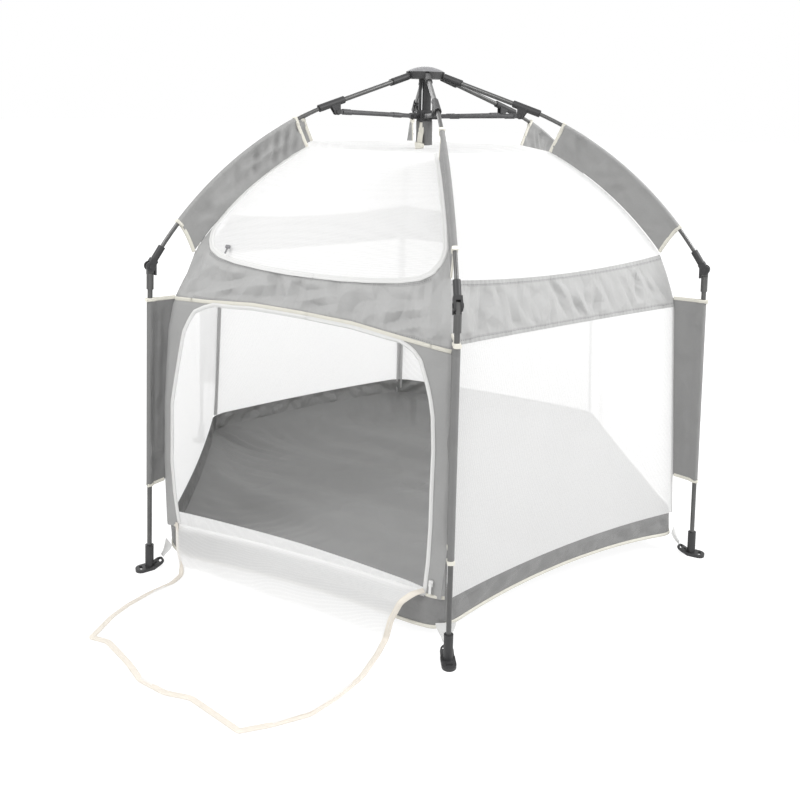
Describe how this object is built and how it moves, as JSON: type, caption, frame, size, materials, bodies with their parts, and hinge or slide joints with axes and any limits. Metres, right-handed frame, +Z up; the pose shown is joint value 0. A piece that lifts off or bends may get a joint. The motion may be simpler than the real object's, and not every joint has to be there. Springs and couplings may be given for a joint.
{
  "type": "pop-up playpen",
  "caption": "Six-sided pop-up playpen with an umbrella frame, grey fabric and white mesh walls, a mesh dome roof and an open zip door flap.",
  "frame": {"origin": "on the playpen's centre axis at ground level, on the underside of the floor", "axes": "+Z up; the door faces -Y; +X is to the right for someone who stands at the door and looks in"},
  "size_m": [1.504, 1.6066, 1.066],
  "materials": {
    "frame_steel": "satin",
    "frame_plastic": "matte",
    "rivet_steel": "satin",
    "zip_plastic": "gloss",
    "grey_fabric": "matte",
    "white_mesh": "matte",
    "cream_binding": "matte",
    "white_webbing": "matte",
    "cream_webbing": "matte"
  },
  "bodies": {
    "enclosure": {"floor_panel": "grey_fabric", "base_band": "grey_fabric", "side_mesh": "white_mesh", "door_frame": "grey_fabric", "belt": "grey_fabric", "dome_mesh": "white_mesh", "window_frame": "cream_binding", "corner_straps": "white_webbing"},
    "hub": {"hub_cap": "frame_plastic", "hub_plate": "frame_plastic", "hub_pins": "rivet_steel", "centre_post": "frame_plastic"},
    "sliding_runner": {"runner": "frame_plastic", "pull_strap": "cream_webbing"},
    "rib_1": {"rib_rod_1": "frame_steel", "rib_fittings_1": "frame_plastic", "rib_sleeve_1": "grey_fabric"},
    "leg_1": {"leg_tube_1": "frame_steel", "foot_1": "frame_plastic", "leg_sleeve_1": "grey_fabric"},
    "strut_arm_1": {"strut_1": "frame_plastic"},
    "rib_2": {"rib_rod_2": "frame_steel", "rib_fittings_2": "frame_plastic", "rib_sleeve_2": "grey_fabric"},
    "leg_2": {"leg_tube_2": "frame_steel", "foot_2": "frame_plastic", "leg_sleeve_2": "grey_fabric"},
    "strut_arm_2": {"strut_2": "frame_plastic"},
    "rib_3": {"rib_rod_3": "frame_steel", "rib_fittings_3": "frame_plastic", "rib_sleeve_3": "grey_fabric"},
    "leg_3": {"leg_tube_3": "frame_steel", "foot_3": "frame_plastic", "leg_sleeve_3": "grey_fabric"},
    "strut_arm_3": {"strut_3": "frame_plastic"},
    "rib_4": {"rib_rod_4": "frame_steel", "rib_fittings_4": "frame_plastic", "rib_sleeve_4": "grey_fabric"},
    "leg_4": {"leg_tube_4": "frame_steel", "foot_4": "frame_plastic", "leg_sleeve_4": "grey_fabric"},
    "strut_arm_4": {"strut_4": "frame_plastic"},
    "rib_5": {"rib_rod_5": "frame_steel", "rib_fittings_5": "frame_plastic", "rib_sleeve_5": "grey_fabric"},
    "leg_5": {"leg_tube_5": "frame_steel", "foot_5": "frame_plastic", "leg_sleeve_5": "grey_fabric"},
    "strut_arm_5": {"strut_5": "frame_plastic"},
    "rib_6": {"rib_rod_6": "frame_steel", "rib_fittings_6": "frame_plastic", "rib_sleeve_6": "grey_fabric"},
    "leg_6": {"leg_tube_6": "frame_steel", "foot_6": "frame_plastic", "leg_sleeve_6": "grey_fabric"},
    "strut_arm_6": {"strut_6": "frame_plastic"},
    "flap_fall": {"door_drop": "white_mesh"},
    "flap_end": {"door_flap": "white_mesh"},
    "door_slider": {"door_zip_slider": "zip_plastic"},
    "window_slider": {"window_zip_slider": "zip_plastic"}
  },
  "joints": [
    {"name": "rise", "type": "slide", "parent": "enclosure", "child": "hub", "axis": [0, 0, 1], "range_m": [0, 0.3382], "deforming": ["floor_panel", "base_band", "side_mesh", "door_frame", "belt", "dome_mesh", "window_frame", "corner_straps"]},
    {"name": "runner_drop", "type": "slide", "parent": "hub", "child": "sliding_runner", "axis": [0, 0, -1], "range_m": [0, 0.2966]},
    {"name": "rib_fold_1", "type": "hinge", "parent": "hub", "child": "rib_1", "pos_m": [0.019, -0.03291, 1.047], "axis": [0.866, 0.5, 0], "range_deg": [0, 48]},
    {"name": "leg_fold_1", "type": "hinge", "parent": "rib_1", "child": "leg_1", "pos_m": [0.3305, -0.57244, 0.67], "axis": [-0.866, -0.5, 0], "range_deg": [0, 48]},
    {"name": "strut_swing_1", "type": "hinge", "parent": "rib_1", "child": "strut_arm_1", "pos_m": [0.11599, -0.20089, 0.96595], "axis": [-0.866, -0.5, 0], "range_deg": [0, 114.1]},
    {"name": "rib_fold_2", "type": "hinge", "parent": "hub", "child": "rib_2", "pos_m": [0.038, 0, 1.047], "axis": [0, 1, 0], "range_deg": [0, 48]},
    {"name": "leg_fold_2", "type": "hinge", "parent": "rib_2", "child": "leg_2", "pos_m": [0.661, 0, 0.67], "axis": [0, -1, 0], "range_deg": [0, 48]},
    {"name": "strut_swing_2", "type": "hinge", "parent": "rib_2", "child": "strut_arm_2", "pos_m": [0.23197, 0, 0.96595], "axis": [0, -1, 0], "range_deg": [0, 114.1]},
    {"name": "rib_fold_3", "type": "hinge", "parent": "hub", "child": "rib_3", "pos_m": [0.019, 0.03291, 1.047], "axis": [-0.866, 0.5, 0], "range_deg": [0, 48]},
    {"name": "leg_fold_3", "type": "hinge", "parent": "rib_3", "child": "leg_3", "pos_m": [0.3305, 0.57244, 0.67], "axis": [0.866, -0.5, 0], "range_deg": [0, 48]},
    {"name": "strut_swing_3", "type": "hinge", "parent": "rib_3", "child": "strut_arm_3", "pos_m": [0.11599, 0.20089, 0.96595], "axis": [0.866, -0.5, 0], "range_deg": [0, 114.1]},
    {"name": "rib_fold_4", "type": "hinge", "parent": "hub", "child": "rib_4", "pos_m": [-0.019, 0.03291, 1.047], "axis": [-0.866, -0.5, 0], "range_deg": [0, 48]},
    {"name": "leg_fold_4", "type": "hinge", "parent": "rib_4", "child": "leg_4", "pos_m": [-0.3305, 0.57244, 0.67], "axis": [0.866, 0.5, 0], "range_deg": [0, 48]},
    {"name": "strut_swing_4", "type": "hinge", "parent": "rib_4", "child": "strut_arm_4", "pos_m": [-0.11599, 0.20089, 0.96595], "axis": [0.866, 0.5, 0], "range_deg": [0, 114.1]},
    {"name": "rib_fold_5", "type": "hinge", "parent": "hub", "child": "rib_5", "pos_m": [-0.038, 0, 1.047], "axis": [0, -1, 0], "range_deg": [0, 48]},
    {"name": "leg_fold_5", "type": "hinge", "parent": "rib_5", "child": "leg_5", "pos_m": [-0.661, 0, 0.67], "axis": [0, 1, 0], "range_deg": [0, 48]},
    {"name": "strut_swing_5", "type": "hinge", "parent": "rib_5", "child": "strut_arm_5", "pos_m": [-0.23197, 0, 0.96595], "axis": [0, 1, 0], "range_deg": [0, 114.1]},
    {"name": "rib_fold_6", "type": "hinge", "parent": "hub", "child": "rib_6", "pos_m": [-0.019, -0.03291, 1.047], "axis": [0.866, -0.5, 0], "range_deg": [0, 48]},
    {"name": "leg_fold_6", "type": "hinge", "parent": "rib_6", "child": "leg_6", "pos_m": [-0.3305, -0.57244, 0.67], "axis": [-0.866, 0.5, 0], "range_deg": [0, 48]},
    {"name": "strut_swing_6", "type": "hinge", "parent": "rib_6", "child": "strut_arm_6", "pos_m": [-0.11599, -0.20089, 0.96595], "axis": [-0.866, 0.5, 0], "range_deg": [0, 114.1]},
    {"name": "door_swing", "type": "hinge", "parent": "enclosure", "child": "flap_fall", "pos_m": [0, -0.58077, 0.096], "axis": [-1, 0, 0], "range_deg": [0, 180]},
    {"name": "door_crease", "type": "hinge", "parent": "flap_fall", "child": "flap_end", "pos_m": [0, -0.59047, 0.0012], "axis": [1, 0, 0], "range_deg": [0, 84.15]},
    {"name": "door_zip", "type": "slide", "parent": "enclosure", "child": "door_slider", "axis": [0, 0.1019, 0.9948], "range_m": [0, 0.34]},
    {"name": "window_zip", "type": "slide", "parent": "enclosure", "child": "window_slider", "axis": [1, 0, 0], "range_m": [0, 0.36]}
  ],
  "couplings": [
    {"joint": "runner_drop", "follows": "rise", "ratio": 0.87699},
    {"joint": "rib_fold_1", "follows": "rise", "rad_per_m": 2.4771},
    {"joint": "leg_fold_1", "follows": "rise", "rad_per_m": 2.4771},
    {"joint": "strut_swing_1", "follows": "rise", "rad_per_m": 5.8882},
    {"joint": "rib_fold_2", "follows": "rise", "rad_per_m": 2.4771},
    {"joint": "leg_fold_2", "follows": "rise", "rad_per_m": 2.4771},
    {"joint": "strut_swing_2", "follows": "rise", "rad_per_m": 5.8882},
    {"joint": "rib_fold_3", "follows": "rise", "rad_per_m": 2.4771},
    {"joint": "leg_fold_3", "follows": "rise", "rad_per_m": 2.4771},
    {"joint": "strut_swing_3", "follows": "rise", "rad_per_m": 5.8882},
    {"joint": "rib_fold_4", "follows": "rise", "rad_per_m": 2.4771},
    {"joint": "leg_fold_4", "follows": "rise", "rad_per_m": 2.4771},
    {"joint": "strut_swing_4", "follows": "rise", "rad_per_m": 5.8882},
    {"joint": "rib_fold_5", "follows": "rise", "rad_per_m": 2.4771},
    {"joint": "leg_fold_5", "follows": "rise", "rad_per_m": 2.4771},
    {"joint": "strut_swing_5", "follows": "rise", "rad_per_m": 5.8882},
    {"joint": "rib_fold_6", "follows": "rise", "rad_per_m": 2.4771},
    {"joint": "leg_fold_6", "follows": "rise", "rad_per_m": 2.4771},
    {"joint": "strut_swing_6", "follows": "rise", "rad_per_m": 5.8882},
    {"joint": "door_crease", "follows": "door_swing", "ratio": 0.46749}
  ]
}
